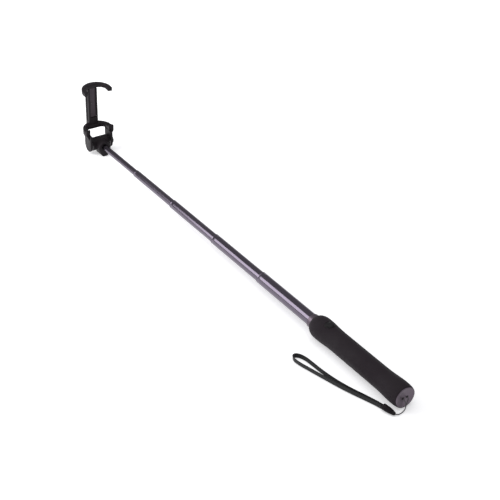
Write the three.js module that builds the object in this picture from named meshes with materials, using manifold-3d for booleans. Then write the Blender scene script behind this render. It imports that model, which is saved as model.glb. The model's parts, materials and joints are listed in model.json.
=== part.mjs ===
// Telescopic selfie stick: foam handle, five sliding sections, folding phone clamp and wrist strap.
// The stick lies along Y with its handle towards -Y. The clamp stands up from its hinge.
import * as THREE from 'three';
import { mergeVertices } from 'three/addons/utils/BufferGeometryUtils.js';
import Module from 'manifold-3d';

const wasm = await Module();
wasm.setup();

// ---- driving dimensions, in millimetres; y = 0 is the clamp's hinge until the last lines ----

const gripRadius = 12.4; // at the waist
const gripSwell = 1.3; // how far the grip swells near each end
const gripSwellWidth = 16;
const rearSwellY = 11; // from the grip's rear end
const frontSwellY = 141;
const gripLength = 155.2;
const gripRounds = { front: 11, frontDrop: 4.2, rear: 7, rearDrop: 1 };
const axisHeight = gripRadius + gripSwell;
const gripFrontY = -537.4;
const capFaceY = gripFrontY - gripLength;

const liner = { outer: 9.3, bore: 8.4, rear: 2.2 };
const collar = { flange: 8.6, length: 6.4, spigot: 8, edge: 0.5 };
const fit = 0.12; // radial clearance of nested pieces
const gap = 0.3; // between pieces that touch

const visibleLengths = [104.7, 105.1, 104.8, 101.7]; // sections 1 to 4, pulled out
const overlaps = [26, 22, 17.5, 14, 12]; // what stays inside the next wider tube
const firstTubeRadius = 7.55;
const tubeStep = 0.825; // from one tube's radius to the next
const tubeWall = 0.4;
const lipLength = 1.4;
const lipRoll = 0.35;
const tubeSides = 32;

const button = { y: -562.4, radius: 4.7, top: 13.75, flange: 5.7, seat: 11.9, flangeTop: 12.5 };
const buttonBoard = { half: 4.4, rear: 7.6, front: 5.8, bottom: 9.6, top: 10.2 };
const buttonSwitch = { half: 2.3, bottom: 10.5, top: 11, plunger: 1.2, tip: 11.25 };
const ribbon = { half: 2, thickness: 0.4, bottom: 9.6, legBottom: 6 };
const cap = { radius: 12.1, thickness: 1.6, plug: 8.1, plugEndY: -681.1, holeRadius: 1.3, holeX: 2.75 };
const capPocket = { near: 2, far: 5, half: 1.5 };
const cell = { radius: 8, thickness: 3.2, y: -680.8 };
const board = { radius: 7.9, thickness: 1, y: -672.6 };
const contact = { radius: 3, wire: 0.25, pitch: 1.48, turns: 2.625, perTurn: 8 };

const hub = { barrelRadius: 9.4, barrelHalf: 13, rearY: -19.6, tubeEndY: -8.6, neckStartY: -4 };
const neckTop = { radius: 9.3, z: -1.3 };
const neckFoot = { radius: 6.6, z: -8.2 }; // cut off flat where it rests

const armInner = 14.5;
const armOuter = 17.5;
const armHalfWidth = 9.75;
const armFlare = { fromZ: 9.5, toZ: 17.2, top: 17.6 };
const pinRadius = 2;
const pinHole = 2.3;
const pinEndX = -16.3;
const nut = { radius: 6, innerX: 17.8, depth: 1.8, tipX: 22.5 };
const washer = { radius: 9.2, hole: 2.35, innerX: 13.3, outerX: 14.2 };

const clampLean = 4.5; // degrees that the clamp leans towards the handle
const jaw = { innerHalf: 16.6, innerY: 14, cornerRadius: 8 }; // the inside of both jaws
const lowerJaw = { half: 21.7, bulge: 23.2, tipY: -6, innerTipY: -4.5, bottom: 17, top: 23.7, tipTop: 25.7 };
const upperJaw = { half: 21, bulge: 22, tipY: -4.5, innerTipY: -3, bottom: 80.5, top: 86 };
const spine = { half: 6.55, frontY: 14.2, backY: 25, bottom: 17.5, top: 79.8 };
const channel = { half: 5.2, slotHalf: 4.5, frontY: 16.2, midY: 19.6, rearY: 23.4, bottom: 25, roof: 74 };
const slotBottom = 34;
const stem = { half: 4.9, backY: 19.3, footY: 23.1, bottom: 27, footTop: 30 };
const stemRib = { half: 4.2, faceY: 15.6, backY: 16.5 };
const stemScrew = { x: -2, z: 57, head: 1.1, headDepth: 0.5 };
const guide = { x: 2.6, y: 21.5, radius: 0.75, springRadius: 1.45, wire: 0.24, turns: 12, perTurn: 8 };
const pad = { innerX: 17.1, outerX: 19.5, frontY: -2, rearY: 7, thickness: 0.9 };
const cover = { half: 4.9, bottom: 18.9, top: 78.9, innerY: 23.7 };
const coverScrewHeights = [21.4, 76.7];
const screw = { head: 1.5, headDepth: 0.7, shank: 0.6, length: 3.6, hole: 0.9 };

const strap = { width: 5.5, thickness: 1.2 };
const stringRadius = 0.55;
const beadFlatness = 0.84;

// ---- materials ----

const material = (color, roughness, metalness = 0) =>
  new THREE.MeshStandardMaterial({ color, roughness, metalness });
const looks = {
  foam: () => material(0x1d1b1e, 0.85),
  blackPlastic: () => material(0x222124, 0.55),
  tube: () => material(0x4a4554, 0.32, 0.9),
  capMetal: () => material(0x6d6470, 0.4, 0.8),
  steel: () => material(0xb4b4b8, 0.3, 1),
  brass: () => material(0xb49a5c, 0.35, 1),
  circuit: () => material(0x1f5a38, 0.5),
  rubber: () => material(0x19191a, 0.9),
  webbing: () => material(0x1a1a1b, 0.95),
  string: () => material(0x4c4a4d, 0.9),
};

// ---- solids and cuts ----

function toSolid(geometry) {
  const bare = geometry.clone();
  bare.deleteAttribute('normal');
  bare.deleteAttribute('uv');
  const merged = mergeVertices(bare, 1e-4);
  return new wasm.Manifold(new wasm.Mesh({
    numProp: 3,
    vertProperties: new Float32Array(merged.attributes.position.array),
    triVerts: new Uint32Array(merged.index.array),
  }));
}

function toGeometry(solid) {
  const mesh = solid.getMesh();
  const geometry = new THREE.BufferGeometry();
  geometry.setAttribute('position', new THREE.BufferAttribute(new Float32Array(mesh.vertProperties), 3));
  geometry.setIndex(new THREE.BufferAttribute(new Uint32Array(mesh.triVerts), 1));
  return geometry;
}

const join = (...geometries) => toGeometry(geometries.map(toSolid).reduce((all, one) => all.add(one)));
const cut = (geometry, ...tools) =>
  toGeometry(tools.map(toSolid).reduce((all, one) => all.subtract(one), toSolid(geometry)));
const overlap = (a, b) => toGeometry(toSolid(a).intersect(toSolid(b)));

// A box between two corners.
function boxBetween(low, high) {
  const size = high.map((value, i) => value - low[i]);
  const centre = high.map((value, i) => (value + low[i]) / 2);
  return new THREE.BoxGeometry(...size).translate(...centre);
}

// A solid of revolution about Y; each point is [radius, y], anticlockwise in that plane.
function turned(points, sides = tubeSides) {
  const profile = points.map(([radius, y]) => new THREE.Vector2(radius, y));
  return new THREE.LatheGeometry(profile, sides);
}

function ring(outer, inner, rearY, frontY, sides) {
  const corners = [[outer, rearY], [outer, frontY], [inner, frontY], [inner, rearY], [outer, rearY]];
  return turned(corners, sides);
}

// Round rods along each axis, given by where they start and end.
const rodY = (radius, y0, y1, sides = 24) =>
  new THREE.CylinderGeometry(radius, radius, y1 - y0, sides).translate(0, (y0 + y1) / 2, 0);
const rodX = (radius, x0, x1, sides) => rodY(radius, x0, x1, sides).rotateZ(-Math.PI / 2);
const rodZ = (radius, z0, z1, sides) => rodY(radius, z0, z1, sides).rotateX(Math.PI / 2);

const along = (shape, depth, curveSegments = 16) =>
  new THREE.ExtrudeGeometry(shape, { depth, bevelEnabled: false, curveSegments });

// A wire or band: the section is swept along a smooth line through the points.
function swept(section, points, steps, tension = 0.5) {
  const knots = points.map((p) => new THREE.Vector3(...p));
  const path = new THREE.CatmullRomCurve3(knots, false, 'catmullrom', tension);
  return new THREE.ExtrudeGeometry(section, { steps, extrudePath: path, curveSegments: 2 });
}

function roundSection(radius, sides) {
  const corners = Array.from({ length: sides }, (_, i) => {
    const angle = (i / sides) * 2 * Math.PI;
    return new THREE.Vector2(radius * Math.cos(angle), radius * Math.sin(angle));
  });
  return new THREE.Shape(corners);
}

function mesh(name, geometry, look) {
  const made = new THREE.Mesh(geometry, look());
  made.name = name;
  return made;
}

// ---- handle ----

const swell = (y, centre) => gripSwell * Math.exp(-(((y - centre) / gripSwellWidth) ** 2));

// The grip's outer radius at a distance from its rear end: a waist between two swellings,
// rounded off at both ends like a quarter of an ellipse.
function gripOutline(y) {
  const { front, frontDrop, rear, rearDrop } = gripRounds;
  const intoFront = Math.max(0, (y - gripLength + front) / front);
  const intoRear = Math.max(0, (rear - y) / rear);
  const drop = (t, depth) => depth * (1 - Math.sqrt(Math.max(0, 1 - t * t)));
  const body = gripRadius + swell(y, rearSwellY) + swell(y, frontSwellY);
  return body - drop(intoFront, frontDrop) - drop(intoRear, rearDrop);
}

function gripSleeve() {
  const fromRear = [cap.thickness + gap, 3.6, 7, 12, 20, 32, 48, 80, 110, 124, 133];
  const fromFront = [16, 11, 7.4, 3.9, 1.6, 0.4, 0].map((y) => gripLength - y);
  const outside = [...fromRear, ...fromFront].map((y) => [gripOutline(y), capFaceY + y]);
  const bore = liner.outer + fit;
  const rearY = capFaceY + fromRear[0];
  const inLiner = liner.outer - 2;
  const body = turned([...outside, [bore, gripFrontY], [bore, rearY], outside[0]], 40);
  const buttonHole = rodZ(button.radius + gap, button.top - 3, button.top + 2, 32).translate(0, button.y, 0);
  const seatTop = button.flangeTop + gap;
  const flangeRoom = rodZ(button.flange + gap, inLiner, seatTop, 32).translate(0, button.y, 0);
  const boardEnds = [button.y - buttonBoard.rear - 0.4, button.y + buttonBoard.front + 0.4];
  const boardHalf = buttonBoard.half + 0.4;
  const boardRoom = boxBetween([-boardHalf, boardEnds[0], inLiner], [boardHalf, boardEnds[1], 10.9]);
  const ribbonHalf = ribbon.half + gap;
  const leadGroove = boxBetween([-ribbonHalf, rearY - 1, inLiner], [ribbonHalf, button.y, 10.4]);
  return mesh('grip_sleeve', cut(body, buttonHole, flangeRoom, boardRoom, leadGroove), looks.foam);
}

const leadSlot = { rearY: board.y + board.thickness, frontY: board.y + board.thickness + 1.6 };

function handleTube() {
  const tube = ring(liner.outer, liner.bore, capFaceY + liner.rear, gripFrontY - gap, 48);
  const half = ribbon.half + 2 * gap;
  const slot = boxBetween([-half, leadSlot.rearY - 0.4, 0], [half, leadSlot.frontY + 0.4, liner.outer + 1]);
  return mesh('handle_tube', cut(tube, slot), looks.tube);
}

function frontCollar() {
  const bore = firstTubeRadius + fit;
  const spigot = liner.bore - fit;
  const { flange, edge } = collar;
  const front = gripFrontY + collar.length;
  const back = gripFrontY - collar.spigot;
  const profile = [[spigot, back], [spigot, gripFrontY], [flange, gripFrontY], [flange, front - edge],
    [flange - edge, front], [bore, front], [bore, back], [spigot, back]];
  return mesh('front_collar', turned(profile, 48), looks.capMetal);
}

// A screw-in cap. Its two holes open into one pocket, which leaves a bar for the wrist string.
function endCap() {
  const shoulderY = capFaceY + cap.thickness;
  const chamfer = 0.4;
  const profile = [[0, capFaceY], [cap.radius - chamfer, capFaceY], [cap.radius, capFaceY + chamfer],
    [cap.radius, shoulderY], [cap.plug, shoulderY], [cap.plug, cap.plugEndY], [0, cap.plugEndY]];
  const holes = [-1, 1].map((side) =>
    rodY(cap.holeRadius, capFaceY - 1, capFaceY + 3, 16).translate(side * cap.holeX, 0, 0));
  const reach = cap.holeX + cap.holeRadius;
  const { near, far, half } = capPocket;
  const pocket = boxBetween([-reach, capFaceY + near, -half], [reach, capFaceY + far, half]);
  return mesh('end_cap', cut(turned(profile, 48), ...holes, pocket), looks.capMetal);
}

function shutterButton() {
  const { radius, top, flange, seat, flangeTop } = button;
  const profile = [[0, seat], [flange, seat], [flange, flangeTop], [radius, flangeTop], [radius, top - 0.5],
    [radius - 0.5, top - 0.12], [radius - 1.6, top], [0, top - 0.2]];
  const turnedButton = turned(profile, 32).rotateX(Math.PI / 2).translate(0, button.y, 0);
  return mesh('shutter_button', turnedButton, looks.rubber);
}

function buttonElectronics() {
  const { half, rear, front } = buttonBoard;
  const corners = [[-half, button.y - rear, buttonBoard.bottom], [half, button.y + front, buttonBoard.top]];
  const plate = boxBetween(...corners);
  const wide = buttonSwitch.half;
  const low = [-wide, button.y - wide, buttonSwitch.bottom];
  const body = boxBetween(low, [wide, button.y + wide, buttonSwitch.top]);
  const { plunger: plungerRadius, tip } = buttonSwitch;
  const plunger = rodZ(plungerRadius, buttonSwitch.top - 0.1, tip, 16).translate(0, button.y, 0);
  return [
    mesh('button_board', plate, looks.circuit),
    mesh('button_switch', join(body, plunger), looks.steel),
  ];
}

// A flat lead from the button's board to the radio board, along the top of the handle tube.
function ribbonLead() {
  const legY = leadSlot.rearY + gap;
  const { half, thickness, bottom, legBottom } = ribbon;
  const frontEnd = button.y - buttonBoard.rear - gap;
  const strip = boxBetween([-half, legY, bottom], [half, frontEnd, bottom + thickness]);
  const leg = boxBetween([-half, legY, legBottom], [half, legY + thickness, bottom + thickness / 2]);
  return mesh('ribbon_lead', join(strip, leg), looks.brass);
}

function powerPieces() {
  const radio = rodY(board.radius, board.y, board.y + board.thickness, 32);
  const coin = rodY(cell.radius, cell.y, cell.y + cell.thickness, 40);
  const { perTurn, pitch } = contact;
  const coils = Array.from({ length: contact.turns * perTurn + 1 }, (_, i) => {
    const angle = (i / perTurn) * 2 * Math.PI;
    const y = board.y - gap - contact.wire - 0.05 - (i * pitch) / perTurn;
    return [contact.radius * Math.cos(angle), y, contact.radius * Math.sin(angle)];
  });
  const spring = swept(roundSection(contact.wire, 5), coils, 44);
  return [
    mesh('radio_board', radio, looks.circuit),
    mesh('coin_cell', coin, looks.steel),
    mesh('contact_spring', spring, looks.steel),
  ];
}

// ---- telescopic sections; section 1 is the widest ----

const tubeRadius = (i) => firstTubeRadius - i * tubeStep;
const boreRadius = (i) => (i < 0 ? liner.bore : tubeRadius(i) - tubeWall);
const mouthY = (i) =>
  visibleLengths.slice(0, i + 1).reduce((y, length) => y + length, gripFrontY + collar.length);
const frontY = (i) => (i < visibleLengths.length ? mouthY(i) : hub.tubeEndY);
const rearY = (i) => mouthY(i - 1) - overlaps[i];

function section(i) {
  const outer = tubeRadius(i);
  const bore = boreRadius(i);
  const front = frontY(i);
  const rear = rearY(i);
  const isLast = i === visibleLengths.length;
  const lipBore = isLast ? bore : tubeRadius(i + 1) + fit;
  const lipRearY = front - lipLength;
  const profile = [[outer, rear], [outer, front - lipRoll], [outer - lipRoll / 2, front], [lipBore, front],
    [lipBore, lipRearY], [bore, lipRearY - lipRoll], [bore, rear], [outer, rear]];
  const seated = i === 0 ? gripFrontY - collar.spigot : mouthY(i - 1) - lipLength - lipRoll;
  const sleeve = ring(boreRadius(i - 1) - fit, outer + fit, rear + 0.2, seated - gap, 24);
  return [
    mesh(`tube_${i + 1}`, turned(profile), looks.tube),
    mesh(`friction_sleeve_${i + 1}`, sleeve, looks.brass),
  ];
}

// ---- head: hub on the last tube, hinge and phone clamp; z = 0 is the stick's axis ----

// The neck's section: a round top that narrows to the foot the head rests on.
function neckShape() {
  const lean = Math.asin((neckTop.radius - neckFoot.radius) / (neckTop.z - neckFoot.z));
  const shape = new THREE.Shape();
  shape.absarc(0, neckTop.z, neckTop.radius, -lean, Math.PI + lean, false);
  shape.absarc(0, neckFoot.z, neckFoot.radius, Math.PI + lean, 2 * Math.PI - lean, false);
  return shape;
}

function headHub() {
  const barrel = rodX(hub.barrelRadius, -hub.barrelHalf, hub.barrelHalf, 48);
  const { neckStartY: start } = hub;
  const neck = along(neckShape(), start - hub.rearY, 20).rotateX(Math.PI / 2).translate(0, start, 0);
  const tubeBore = rodY(tubeRadius(4) + fit, hub.rearY - 1, hub.tubeEndY + gap, tubeSides);
  const belowFoot = boxBetween([-10, hub.rearY - 1, -20], [10, 0, -axisHeight]);
  const pinBore = rodX(pinHole, -hub.barrelHalf - 1, hub.barrelHalf + 1, 24);
  return mesh('head_hub', cut(join(barrel, neck), tubeBore, pinBore, belowFoot), looks.blackPlastic);
}

function hinge() {
  const { radius, innerX, tipX, depth } = nut;
  const shaft = rodX(pinRadius, pinEndX, innerX + depth, 24);
  const dome = turned([[0, innerX], [radius - 0.4, innerX], [radius, innerX + 0.5], [radius, innerX + depth],
    [radius - 0.7, innerX + 3], [radius - 2.2, innerX + 4.1], [0, tipX]], 32).rotateZ(-Math.PI / 2);
  const socket = rodX(pinHole, innerX - 1, innerX + depth + gap, 24);
  const rings = [['washer_left', -1], ['washer_right', 1]].map(([name, side]) => {
    const disc = ring(washer.radius, washer.hole, washer.innerX, washer.outerX).rotateZ(-side * Math.PI / 2);
    return mesh(name, disc, looks.steel);
  });
  const cover = mesh('hinge_nut', cut(dome, socket), looks.blackPlastic);
  return [mesh('hinge_pin', shaft, looks.steel), cover, ...rings];
}

// A jaw's outline from above: a horseshoe, its horns towards the handle.
function jawShape({ half, bulge, tipY, innerTipY }) {
  const { innerHalf, innerY, cornerRadius: r } = jaw;
  const shape = new THREE.Shape();
  shape.moveTo(innerHalf - 0.4, innerTipY);
  shape.lineTo(half - 0.2, tipY);
  shape.absellipse(0, 0, half, bulge, 0, Math.PI, false, 0);
  shape.lineTo(-half + 0.2, tipY);
  shape.lineTo(-innerHalf + 0.4, innerTipY);
  shape.absarc(-innerHalf + r, innerY - r, r, Math.PI, Math.PI / 2, true);
  shape.absarc(innerHalf - r, innerY - r, r, Math.PI / 2, 0, true);
  shape.closePath();
  return shape;
}

const jawPlate = (outline, bottom, top) =>
  along(jawShape(outline), top - bottom, 14).translate(0, 0, bottom);

// One fork arm: a tongue round the hinge, which flares out under the jaw's horn.
function forkArm(side) {
  const { fromZ, toZ, top } = armFlare;
  const tongue = new THREE.Shape();
  tongue.absarc(0, 0, armHalfWidth, Math.PI, 2 * Math.PI, false);
  tongue.lineTo(armHalfWidth, top);
  tongue.lineTo(-armHalfWidth, top);
  const sideView = along(tongue, armOuter - armInner, 20).rotateZ(-Math.PI / 2).rotateY(-Math.PI / 2);
  const wide = lowerJaw.half - 0.4;
  const inside = armInner + 0.5;
  const corners = [[inside, fromZ], [armOuter, fromZ], [wide, toZ], [wide, top], [inside, top]];
  const flare = new THREE.Shape(corners.map(([x, z]) => new THREE.Vector2(side * x, z)));
  const front = lowerJaw.tipY + 0.2;
  const back = armHalfWidth - 0.2;
  const flared = along(flare, back - front).rotateX(Math.PI / 2).translate(0, back, 0);
  const underJaw = overlap(flared, jawPlate(lowerJaw, fromZ - 1, top + 1));
  return join(sideView.translate(side > 0 ? armOuter : -armInner, 0, 0), underJaw);
}

function clampFrame() {
  const { half, slotHalf, frontY: front, midY, rearY: rear, bottom, roof } = channel;
  const { bottom: under, top: seat, tipY, tipTop } = lowerJaw;
  const tipBox = boxBetween([-lowerJaw.half, tipY - 1, seat - 1], [lowerJaw.half, pad.frontY - gap, tipTop]);
  const tips = overlap(jawPlate(lowerJaw, seat - 1, tipTop), tipBox);
  const column = boxBetween([-spine.half, spine.frontY, spine.bottom], [spine.half, spine.backY, spine.top]);
  const solid = join(jawPlate(lowerJaw, under, seat), forkArm(-1), forkArm(1), column, tips);
  const slot = boxBetween([-slotHalf, spine.frontY - 1, slotBottom], [slotHalf, front + 1, spine.top + 1]);
  const stemRoom = boxBetween([-half, front, bottom], [half, midY, spine.top + 1]);
  const springRoom = boxBetween([-half, front, bottom], [half, rear + 1, roof]);
  const coverSeat = boxBetween([-half, rear, cover.bottom - gap], [half, spine.backY + 1, cover.top + gap]);
  const leftPin = rodX(pinHole, pinEndX - gap, 0, 24);
  const rightPin = rodX(pinHole, 0, armOuter + 1, 24);
  const pilots = coverScrewHeights.map((z) => rodY(screw.hole, 20.6, rear + 1, 12).translate(0, 0, z));
  const opened = cut(solid, slot, stemRoom, springRoom, coverSeat, leftPin, rightPin, ...pilots);
  return mesh('clamp_frame', opened, looks.blackPlastic);
}

function backCover() {
  const plate = boxBetween([-cover.half, cover.innerY, cover.bottom], [cover.half, spine.backY, cover.top]);
  const seatY = spine.backY - screw.headDepth - gap;
  const seats = coverScrewHeights.flatMap((z) => [
    rodY(screw.hole, cover.innerY - 1, spine.backY, 12).translate(0, 0, z),
    rodY(screw.head + gap, seatY, spine.backY + 1, 20).translate(0, 0, z),
  ]);
  const fasteners = coverScrewHeights.map((z, i) => {
    const head = rodY(screw.head, spine.backY - screw.headDepth, spine.backY, 20);
    const shank = rodY(screw.shank, spine.backY - screw.length, spine.backY - 0.2, 12);
    return mesh(`cover_screw_${i + 1}`, join(head, shank).translate(0, 0, z), looks.steel);
  });
  return [mesh('back_cover', cut(plate, ...seats), looks.blackPlastic), ...fasteners];
}

// Two rods in the spine carry the springs that pull the upper jaw down.
function springGuides() {
  const { x, y, radius, springRadius, wire, turns, perTurn } = guide;
  const bottom = stem.footTop + gap + wire;
  const top = channel.roof - gap - wire;
  return [['left', -x], ['right', x]].flatMap(([side, centre]) => {
    const coils = Array.from({ length: turns * perTurn + 1 }, (_, i) => {
      const angle = (i / perTurn) * 2 * Math.PI;
      const z = bottom + ((top - bottom) * i) / (turns * perTurn);
      return [centre + springRadius * Math.cos(angle), y + springRadius * Math.sin(angle), z];
    });
    const rod = rodZ(radius, channel.bottom + gap, channel.roof - gap, 12).translate(centre, y, 0);
    const spring = swept(roundSection(wire, 4), coils, turns * perTurn);
    return [mesh(`guide_rod_${side}`, rod, looks.steel), mesh(`return_spring_${side}`, spring, looks.steel)];
  });
}

function jawPads(level, bottom) {
  const { innerX, outerX, frontY: front, rearY: rear, thickness } = pad;
  const top = bottom + thickness;
  return [
    mesh(`${level}_pad_left`, boxBetween([-outerX, front, bottom], [-innerX, rear, top]), looks.rubber),
    mesh(`${level}_pad_right`, boxBetween([innerX, front, bottom], [outerX, rear, top]), looks.rubber),
  ];
}

function upperJawPiece() {
  const { half, backY, footY, bottom, footTop } = stem;
  const top = upperJaw.bottom + 1;
  const flange = boxBetween([-half, stemRib.backY, bottom], [half, backY, top]);
  const low = [-stemRib.half, stemRib.faceY, slotBottom + 0.5];
  const rib = boxBetween(low, [stemRib.half, stemRib.backY + 0.5, top]);
  const foot = boxBetween([-half, backY - 0.5, bottom], [half, footY, footTop]);
  const solid = join(jawPlate(upperJaw, upperJaw.bottom, upperJaw.top), flange, rib, foot);
  const rodHoles = [-guide.x, guide.x].map((x) =>
    rodZ(guide.radius + gap, bottom - 1, footTop + 1, 12).translate(x, guide.y, 0));
  const blind = rodY(screw.hole, stemRib.faceY - 1, backY - 0.6, 12).translate(stemScrew.x, 0, stemScrew.z);
  return mesh('upper_jaw', cut(solid, ...rodHoles, blind), looks.blackPlastic);
}

function stemScrewPiece() {
  const headY = stemRib.faceY - gap;
  const head = rodY(stemScrew.head, headY - stemScrew.headDepth, headY, 16);
  const shank = rodY(screw.shank, headY - 0.2, stem.backY - 1.2, 12);
  return mesh('stem_screw', join(head, shank).translate(stemScrew.x, 0, stemScrew.z), looks.steel);
}

// ---- wrist strap; z = 0 is the surface the stick lies on ----

const beadRear = new THREE.Vector3(-19.4, -681.2, 3.8);
const beadTip = new THREE.Vector3(-16.1, -696.4, 2.2);

const stringRoute = [[-2.75, -689.4, 13.7], [-2.75, -691.2, 13.7], [-2.75, -693.1, 13.6], [-2.6, -694.7, 13],
  [-2.2, -695.6, 11.3], [-1.7, -695.9, 8.9], [-1.4, -696, 6.4], [-1.6, -696.1, 4], [-2.8, -696.4, 2],
  [-5, -696.9, 0.95], [-8, -697.5, 0.65], [-11, -697.9, 0.85], [-13.6, -697.6, 1.5], [-15.8, -697, 2.15]];

const strapRoute = [[-18.6, -680.7], [-20.6, -672], [-24.6, -658], [-29.3, -643], [-33, -628], [-35.6, -613],
  [-37.2, -598], [-37.9, -584], [-38.7, -573.5], [-41, -565.6], [-44.9, -561.6], [-48.5, -562.9],
  [-50, -568.5], [-48.9, -578], [-46.2, -589.5], [-43.2, -602], [-39.9, -615.5], [-36.2, -630],
  [-31.9, -644.6], [-26.9, -659.4], [-22.6, -672.6], [-20.7, -680.3]];

function wristStrap() {
  const bandZ = strap.width / 2 + 0.05;
  const w = strap.width / 2;
  const t = strap.thickness / 2;
  const corners = [[-w, -t], [w, -t], [w, t], [-w, t]];
  const section = new THREE.Shape(corners.map(([x, y]) => new THREE.Vector2(x, y)));
  const band = swept(section, strapRoute.map(([x, y]) => [x, y, bandZ]), 76);
  const line = swept(roundSection(stringRadius, 8), stringRoute, 30);
  const run = beadTip.clone().sub(beadRear);
  const length = run.length();
  const end = length - 0.6;
  const outline = [[0, 0.3], [3.3, 0.3], [3.7, 1.2], [3.7, 3], [3.2, 8], [2.4, 12.5], [1.6, end], [0, end]];
  const bead = turned(outline, 24).scale(beadFlatness, 1, 1);
  const turn = new THREE.Quaternion().setFromUnitVectors(new THREE.Vector3(0, 1, 0), run.normalize());
  bead.applyQuaternion(turn).translate(...beadRear);
  return [
    mesh('wrist_strap', band, looks.webbing),
    mesh('strap_string', line, looks.string),
    mesh('strap_bead', bead, looks.blackPlastic),
  ];
}

// ---- assembly ----

const onAxis = new THREE.Group(); // everything placed from the stick's axis
onAxis.position.z = axisHeight;
onAxis.add(gripSleeve(), handleTube(), frontCollar(), endCap(), shutterButton(), ...buttonElectronics());
onAxis.add(ribbonLead(), ...powerPieces());
for (let i = 0; i <= visibleLengths.length; i += 1) {
  onAxis.add(...section(i));
}
onAxis.add(headHub());

const clamp = new THREE.Group();
clamp.rotation.x = THREE.MathUtils.degToRad(clampLean);
clamp.add(...hinge(), clampFrame(), ...backCover(), ...springGuides(), upperJawPiece(), stemScrewPiece());
clamp.add(...jawPads('lower', lowerJaw.top + gap));
clamp.add(...jawPads('upper', upperJaw.bottom - gap - pad.thickness));
onAxis.add(clamp);

const selfieStick = new THREE.Group();
selfieStick.add(onAxis, ...wristStrap());

// The origin is the middle of the base of everything but the strap.
const extent = new THREE.Box3().setFromObject(onAxis, true);
const middle = extent.getCenter(new THREE.Vector3());
selfieStick.position.set(-middle.x, -middle.y, 0);

export default selfieStick;
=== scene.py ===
import json
import math
import bmesh
import bpy
from mathutils import Matrix, Vector


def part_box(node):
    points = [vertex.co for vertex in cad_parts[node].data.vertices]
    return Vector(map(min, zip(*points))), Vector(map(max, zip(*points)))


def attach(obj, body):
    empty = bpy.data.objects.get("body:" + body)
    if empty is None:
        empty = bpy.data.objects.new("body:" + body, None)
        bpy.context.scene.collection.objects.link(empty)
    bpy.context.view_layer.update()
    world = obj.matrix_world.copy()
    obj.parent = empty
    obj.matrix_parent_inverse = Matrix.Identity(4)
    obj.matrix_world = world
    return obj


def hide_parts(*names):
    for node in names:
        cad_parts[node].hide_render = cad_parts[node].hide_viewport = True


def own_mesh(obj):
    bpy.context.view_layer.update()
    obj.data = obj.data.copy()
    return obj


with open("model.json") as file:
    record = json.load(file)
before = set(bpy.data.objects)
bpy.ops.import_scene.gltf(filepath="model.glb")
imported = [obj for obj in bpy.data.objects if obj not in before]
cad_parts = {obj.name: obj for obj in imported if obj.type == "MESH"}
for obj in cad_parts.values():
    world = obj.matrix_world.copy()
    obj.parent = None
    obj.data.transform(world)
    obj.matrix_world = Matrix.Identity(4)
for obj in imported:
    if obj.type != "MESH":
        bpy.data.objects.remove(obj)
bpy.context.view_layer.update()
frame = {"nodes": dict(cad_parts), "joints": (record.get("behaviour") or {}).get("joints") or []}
mm = 0.001

joints = {joint["name"]: joint for joint in frame["joints"]}
tubeLow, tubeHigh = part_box("tube_5")  # the narrowest section gives the stick's axis
axisX, axisZ = (tubeLow[0] + tubeHigh[0]) / 2, (tubeLow[2] + tubeHigh[2]) / 2
hingeY = joints["clamp_tilt"]["pos_m"][1]
hingePoint = Vector((axisX, hingeY, axisZ))
floorPoint = Vector((axisX, hingeY, 0.0))
slideAxis = Vector(joints["jaw_slide"]["axis"])
leaning = Matrix.Rotation(math.atan2(-slideAxis.y, slideAxis.z), 4, "X")
leaningBodies = ("clamp", "upper_jaw")

# Pieces are shaped in millimetres from the clamp's hinge, +y towards the clamp, +z up.
# The clamp is shaped upright and leans when it is put in place; the strap is shaped from
# the floor below the hinge.

# ---- camera, floor and light ----

view = {
    "offset": (-0.6295, -1.37514, 0.74225), "tilt": 58.27, "turn": -32.9, "lens": 82.8, "sensor": 36.0,
    "nearest": 0.05, "farthest": 30.0,
}
lamps = {
    "above": {"place": (0.1, 0.1, 3.0), "aim": (0.1, 0.1, 0.0), "size": (3.0, 3.0), "power": 38.0},
    "side": {"place": (-0.68, 0.6, 0.51), "aim": (0.0, 0.6, 0.014), "size": (0.95, 0.75), "power": 7.8},
}
surround = {"Color": (0.985, 0.985, 1.0, 1.0), "Strength": 0.35}
floorSizes = {"reach": 15.0, "cells": 8, "below": 0.00005}
floorLook = {
    "Base Color": (0.93, 0.93, 0.935, 1.0), "Roughness": 0.85, "Specular IOR Level": 0.15,
    "Emission Color": (0.985, 0.985, 1.0, 1.0), "Emission Strength": 0.42,
}


def setInputs(node, values):
    for label, value in values.items():
        node.inputs[label].default_value = value


def addCamera():
    data = bpy.data.cameras.new("camera")
    data.lens = view["lens"]
    data.sensor_width = view["sensor"]
    data.clip_start = view["nearest"]
    data.clip_end = view["farthest"]
    camera = bpy.data.objects.new("camera", data)
    camera.location = hingePoint + Vector(view["offset"])
    camera.rotation_euler = (math.radians(view["tilt"]), 0.0, math.radians(view["turn"]))
    bpy.context.scene.collection.objects.link(camera)
    bpy.context.scene.camera = camera


def addLamp(name, lamp):
    data = bpy.data.lights.new(name, "AREA")
    data.shape = "RECTANGLE"
    data.size, data.size_y = lamp["size"]
    data.energy = lamp["power"]
    made = bpy.data.objects.new(name, data)
    made.location = lamp["place"]
    aim = Vector(lamp["aim"]) - Vector(lamp["place"])
    made.rotation_euler = aim.to_track_quat("-Z", "Y").to_euler()
    bpy.context.scene.collection.objects.link(made)


def addWorld():
    world = bpy.data.worlds.new("studio")
    bpy.context.scene.world = world
    world.use_nodes = True
    setInputs(world.node_tree.nodes["Background"], surround)


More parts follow.
